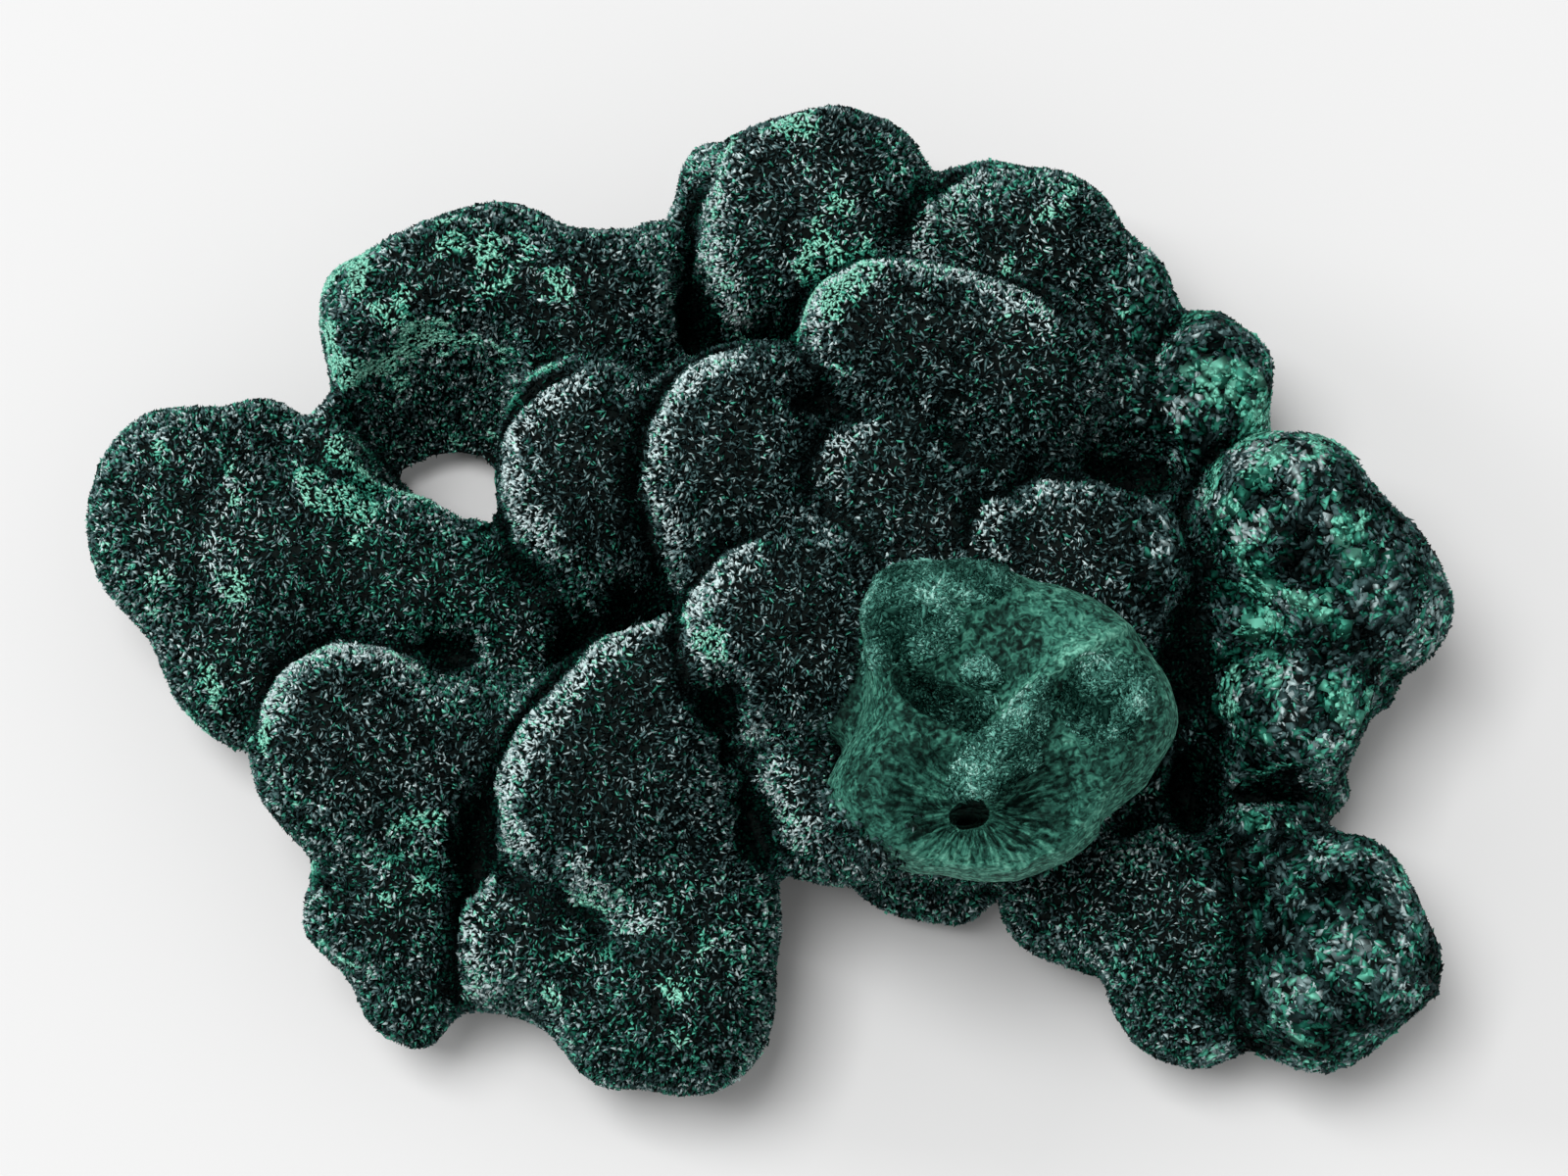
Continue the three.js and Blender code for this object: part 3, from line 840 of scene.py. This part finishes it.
def in_family(family, tone):
    """Where a tone from 0 to 1 is in the range of all the families."""
    start, reach = family
    return start + reach * tone


def velvet_material():
    """The needles and crystals: their tone by the key in OFBake, with painted shade darkening them towards
    their roots.
    """
    made = bpy.data.materials.get("malachite_velvet")
    if made:
        return made
    made, tree, shader = new_material("malachite_velvet", 0.42)
    uv = tree.nodes.new("ShaderNodeUVMap")
    uv.uv_map = "OFBake"
    split = tree.nodes.new("ShaderNodeSeparateXYZ")
    tree.links.new(uv.outputs["UV"], split.inputs["Vector"])
    tone = ramp(tree, split.outputs["X"], VELVET_TONES)
    height = ramp(tree, split.outputs["Y"], PAINTED_ROOT_SHADE)
    colour = mixed(tree, "MULTIPLY", 1.0, tone, height)
    tree.links.new(colour, shader.inputs["Base Color"])
    shader.inputs["Specular IOR Level"].default_value = 0.02
    return made


def math_node(tree, kind, *values):
    node = tree.nodes.new("ShaderNodeMath")
    node.operation = kind
    for number, value in enumerate(values):
        if isinstance(value, bpy.types.NodeSocket):
            tree.links.new(value, node.inputs[number])
        else:
            node.inputs[number].default_value = value
    return node.outputs[0]


def fan_of_fibres(tree, hole):
    """Noise drawn out into fibres that run away from the hole."""
    place = tree.nodes.new("ShaderNodeTexCoord")
    away = tree.nodes.new("ShaderNodeVectorMath")
    away.operation = "SUBTRACT"
    away.inputs[1].default_value = (*hole, 0)
    tree.links.new(place.outputs["Object"], away.inputs[0])
    flat = tree.nodes.new("ShaderNodeVectorMath")
    flat.operation = "MULTIPLY"
    flat.inputs[1].default_value = (1, 1, 0)
    tree.links.new(away.outputs[0], flat.inputs[0])
    direction = tree.nodes.new("ShaderNodeVectorMath")
    direction.operation = "NORMALIZE"
    tree.links.new(flat.outputs[0], direction.inputs[0])
    distance = tree.nodes.new("ShaderNodeVectorMath")
    distance.operation = "LENGTH"
    tree.links.new(flat.outputs[0], distance.inputs[0])
    split = tree.nodes.new("ShaderNodeSeparateXYZ")
    tree.links.new(direction.outputs[0], split.inputs[0])
    joined = tree.nodes.new("ShaderNodeCombineXYZ")
    tree.links.new(split.outputs["X"], joined.inputs["X"])
    tree.links.new(split.outputs["Y"], joined.inputs["Y"])
    drawn_out = math_node(tree, "MULTIPLY", distance.outputs["Value"], FIBRES_ALONG)
    tree.links.new(drawn_out, joined.inputs["Z"])
    node = tree.nodes.new("ShaderNodeTexNoise")
    node.inputs["Scale"].default_value = FIBRES_AROUND
    node.inputs["Detail"].default_value = 3
    tree.links.new(joined.outputs[0], node.inputs["Vector"])
    return node.outputs["Fac"]


def skin_material(hole):
    """The skin under the needles, the pale stalk with its fibres and the broken underside."""
    made, tree, shader = new_material("malachite_skin", 0.75)
    shader.inputs["Specular IOR Level"].default_value = 0.06
    flecks = noise_texture(tree, FLECKS, 1.5, 1.2)
    clouds = noise_texture(tree, CLOUDS)
    mottled = mixed(tree, "MIX", 0.25, flecks, clouds)
    streaked = mixed(tree, "MIX", 0.25, fan_of_fibres(tree, hole), flecks)
    grain = mixed(tree, "MIX", attribute(tree, "fan"), mottled, streaked)
    level = math_node(tree, "MULTIPLY_ADD", attribute(tree, "tone"), 0.22, grain)
    stalk_colour = ramp(tree, level, STALK_TONES)
    specks = ramp(tree, noise_texture(tree, SPECKS, 1, 0.5), DARK_SPECKS)
    stalk_colour = mixed(tree, "MULTIPLY", 0.8, stalk_colour, specks)
    ground = ramp(tree, flecks, GROUND_TONES)
    broken = ramp(tree, noise_texture(tree, BROKEN_STONE, 5, 2.5), BROKEN_TONES)
    colour = mixed(tree, "MIX", attribute(tree, "on_stalk"), ground, stalk_colour)
    colour = mixed(tree, "MIX", attribute(tree, "broken"), colour, broken)
    tree.links.new(colour, shader.inputs["Base Color"])
    bump = tree.nodes.new("ShaderNodeBump")
    bump.inputs["Distance"].default_value = 0.12 * MM
    bump.inputs["Strength"].default_value = 0.7
    tree.links.new(grain, bump.inputs["Height"])
    tree.links.new(bump.outputs["Normal"], shader.inputs["Normal"])
    return made


# ---- Stage -------------------------------------------------------------------------------------------------

SENSOR, LENS = 36, 108          # in millimetres
CAMERA_TARGET = (MIDDLE[0] + 1.2 * MM, MIDDLE[1] + 0.25 * MM, 0.36 * SIZE[2])
CAMERA_DISTANCE = 303 * MM
CAMERA_ELEVATION = 78           # in degrees above the surface
FLOOR_HALF = 1.5                # half the floor's side, in metres
PAPER = (0.63, 0.63, 0.63, 1)
SKY_STRENGTH = 0.52             # of the even white light from all round
# The two soft lamps: where each one is and how wide, in metres, and its power in watts.
LAMPS = {
    "key": ((-0.50, 0.20, 2.0), 0.9, 38),
    "side": ((-2.0, 0.6, 1.1), 0.7, 14),
}
LAMP_TARGET = (0, 0, 0.01)


def aim(thing, place, target):
    thing.location = place
    thing.rotation_euler = (target - place).to_track_quat("-Z", "Y").to_euler()


def make_camera():
    lens = bpy.data.cameras.new("camera")
    lens.sensor_width = SENSOR
    lens.lens = LENS
    camera = bpy.data.objects.new("camera", lens)
    bpy.context.scene.collection.objects.link(camera)
    target = Vector(CAMERA_TARGET)
    elevation = math.radians(CAMERA_ELEVATION)
    away = Vector((0, -math.cos(elevation), math.sin(elevation)))
    aim(camera, target + CAMERA_DISTANCE * away, target)
    bpy.context.scene.camera = camera


def make_light(name, place, size, power):
    lamp = bpy.data.lights.new(name, "AREA")
    lamp.size = size
    lamp.energy = power
    light = bpy.data.objects.new(name, lamp)
    bpy.context.scene.collection.objects.link(light)
    aim(light, Vector(place), Vector(LAMP_TARGET))


def make_floor():
    mesh = bpy.data.meshes.new("floor")
    corners = [(x * FLOOR_HALF, y * FLOOR_HALF, 0) for x, y in ((-1, -1), (1, -1), (1, 1), (-1, 1))]
    mesh.from_pydata(corners, [], [(0, 1, 2, 3)])
    floor = bpy.data.objects.new("floor", mesh)
    bpy.context.scene.collection.objects.link(floor)
    paper = bpy.data.materials.new("paper")
    paper.use_nodes = True
    shader = paper.node_tree.nodes["Principled BSDF"]
    shader.inputs["Base Color"].default_value = PAPER
    shader.inputs["Roughness"].default_value = 0.9
    mesh.materials.append(paper)


def make_world():
    world = bpy.data.worlds.new("studio")
    world.use_nodes = True
    background = world.node_tree.nodes["Background"]
    background.inputs["Color"].default_value = (1, 1, 1, 1)
    background.inputs["Strength"].default_value = SKY_STRENGTH
    bpy.context.scene.world = world
    bpy.context.scene.view_settings.view_transform = "Standard"


# ---- The specimen ------------------------------------------------------------------------------------------

coarse, painted_sheen_and_shade, skin, stalk, (on_stalk, fan, crystalline, tone) = build_skin()
body = mesh_from("malachite_body", skin.points, skin.faces, skin_material(stalk[:2] + HOLE_FROM_STALK))
body.data.shade_smooth()
under = step(-skin.normals()[:, 2], 0.55, 0.9) * (1 - step(skin.points[:, 2] - LOW[2], 0.6 * MM, 2 * MM))
for label, values in (("on_stalk", on_stalk), ("fan", fan), ("tone", tone), ("broken", under)):
    keep_attribute(body, label, values)
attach(body, "root")
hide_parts(NODE)

bare = coarse.blur(stalk_share(coarse.points, coarse.normals(), stalk), 3)
for number in range(VELVET_PIECES):
    velvet(f"velvet_{number + 1}", coarse, bare, *painted_sheen_and_shade, VELVET_SEED + number)
stalk_crystals("stalk_crystals", skin, crystalline, tone, STALK_SEED)

make_camera()
make_floor()
make_world()
for name, (place, size, power) in LAMPS.items():
    make_light(name, place, size, power)
